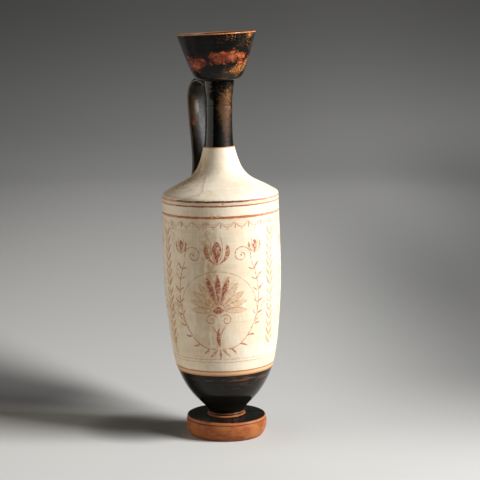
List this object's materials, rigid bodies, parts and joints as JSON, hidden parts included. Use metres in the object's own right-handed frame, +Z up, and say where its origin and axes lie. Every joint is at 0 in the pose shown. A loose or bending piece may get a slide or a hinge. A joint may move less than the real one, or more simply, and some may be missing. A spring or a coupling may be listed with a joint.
{
  "type": "lekythos",
  "caption": "Tall slender oil flask with a deep flaring mouth, narrow neck, one strap handle, sloping shoulder, cylindrical body and a disc foot.",
  "frame": {"origin": "centre of the foot's resting plane", "axes": "+Z up; the strap handle stands toward +Y, so the side with the painting faces -Y"},
  "size_m": [0.1406, 0.1401, 0.4827],
  "materials": {
    "foot_clay": "orange-red fired clay, smooth, partly under black gloss",
    "black_gloss": "black gloss slip, worn and misfired to orange in places",
    "white_ground": "ivory slip, semi-matt, stained and crazed"
  },
  "bodies": {
    "root": {"foot": "foot_clay", "foot_fillet": "foot_clay", "lower_body": "black_gloss", "body_wall": "white_ground", "shoulder": "white_ground", "neck": "black_gloss", "mouth": "black_gloss", "handle": "black_gloss"}
  },
  "joints": []
}
